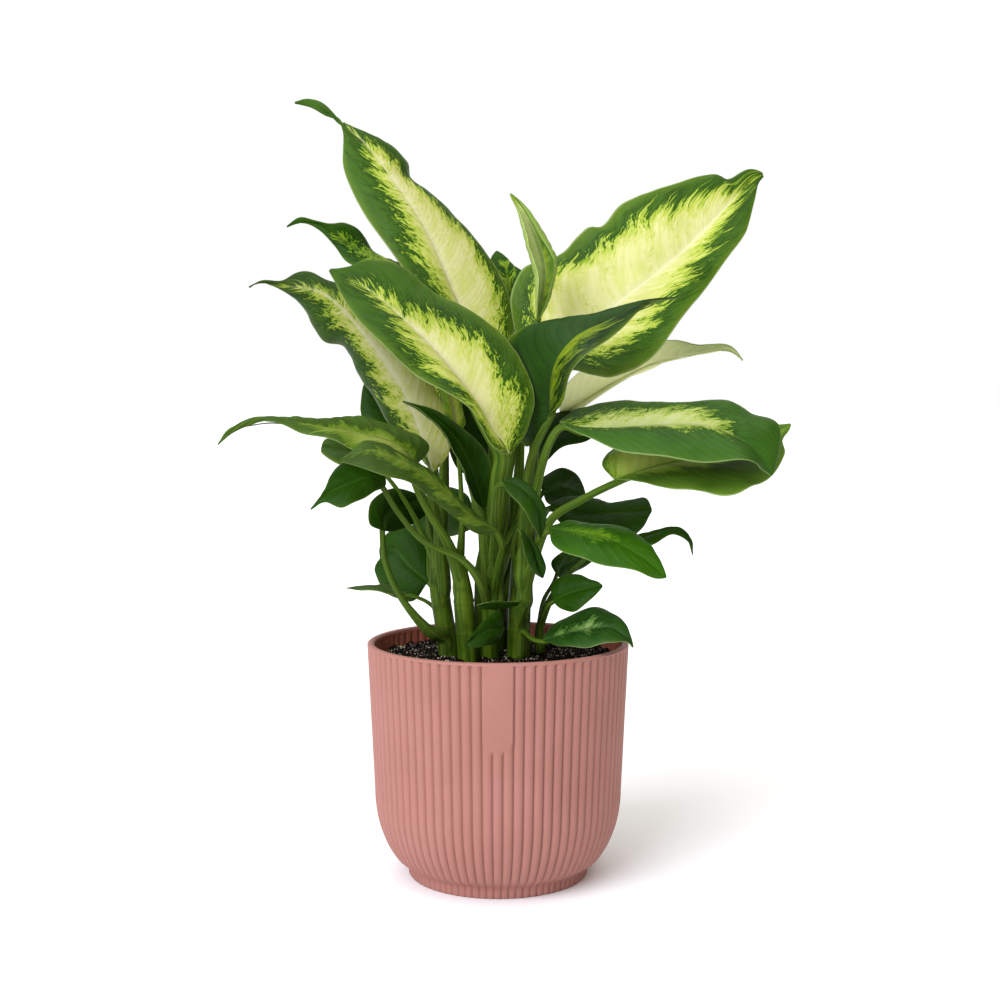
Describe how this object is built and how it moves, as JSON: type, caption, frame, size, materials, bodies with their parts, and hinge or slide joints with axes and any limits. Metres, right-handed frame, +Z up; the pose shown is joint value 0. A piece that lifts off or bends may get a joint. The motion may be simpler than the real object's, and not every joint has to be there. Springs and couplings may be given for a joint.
{
  "type": "potted plant",
  "caption": "Leafy houseplant with long pointed, cream-marked leaves on clasping stalks, standing in a round ribbed cover pot filled with soil.",
  "frame": {"origin": "centre of the pot's flat underside", "axes": "+Z up through the plant's tallest leaf; -Y towards the pot's smooth strip and the picture's camera; +X to the right in the picture"},
  "size_m": [0.2956, 0.2195, 0.4242],
  "materials": {
    "pot": "matt, dusty pink",
    "soil": "dark potting soil",
    "cane": "smooth green stem",
    "leaf_variegated": "satin, cream along the midrib and green at the margin",
    "leaf_half": "satin, one half dark green and the other creamy",
    "leaf_young": "satin, young pale green",
    "leaf_dark": "satin, dark green",
    "leaf_pale": "matt, pale green",
    "leaf_banded": "satin, cream band over quilted green",
    "leaf_bright": "satin, bright green with a yellow streak",
    "leaf_splash": "satin, dark green with a pale splash",
    "leaf_pale_banded": "satin, pale band along the middle",
    "leaf_grey": "matt, grey green"
  },
  "bodies": {
    "root": {"pot": "pot", "soil": "soil", "cane_left": "cane", "cane_front_left": "cane", "cane_centre": "cane", "cane_right": "cane", "cane_small_right": "cane", "cane_back": "cane", "leaf_top_left": "leaf_variegated", "leaf_right_large": "leaf_variegated", "leaf_front_left_large": "leaf_variegated", "leaf_left_large": "leaf_variegated", "leaf_front_right_folded": "leaf_half", "leaf_young_rolled": "leaf_young", "leaf_behind_centre": "leaf_dark", "leaf_upper_left_back": "leaf_dark", "leaf_right_underside": "leaf_pale", "leaf_right_upper_flat": "leaf_banded", "leaf_right_lower_flat": "leaf_banded", "leaf_right_bright": "leaf_bright", "leaf_centre_narrow": "leaf_dark", "leaf_right_back_round": "leaf_dark", "leaf_right_back_dark": "leaf_dark", "leaf_right_curled_tip": "leaf_dark", "leaf_small_curled": "leaf_dark", "leaf_small_pointed": "leaf_bright", "leaf_over_rim": "leaf_splash", "leaf_front_low_dark": "leaf_dark", "leaf_front_low_thin": "leaf_dark", "leaf_left_long": "leaf_pale_banded", "leaf_left_crossing": "leaf_pale_banded", "leaf_left_dark": "leaf_dark", "leaf_left_back_grey": "leaf_grey", "leaf_left_hanging": "leaf_dark", "leaf_left_dark_round": "leaf_dark", "leaf_left_thin": "leaf_grey", "leaf_centre_folded": "leaf_dark", "leaf_left_back_dark": "leaf_dark", "leaf_centre_pale_strip": "leaf_pale", "leaf_centre_back_dark": "leaf_dark", "leaf_centre_dark": "leaf_dark", "leaf_right_hanging_small": "leaf_dark", "leaf_back_right_low": "leaf_banded", "leaf_back_right_high": "leaf_variegated", "leaf_back_left": "leaf_variegated", "leaf_back_left_low": "leaf_dark", "leaf_back_right_dark": "leaf_dark", "leaf_back_centre": "leaf_variegated"}
  },
  "joints": []
}
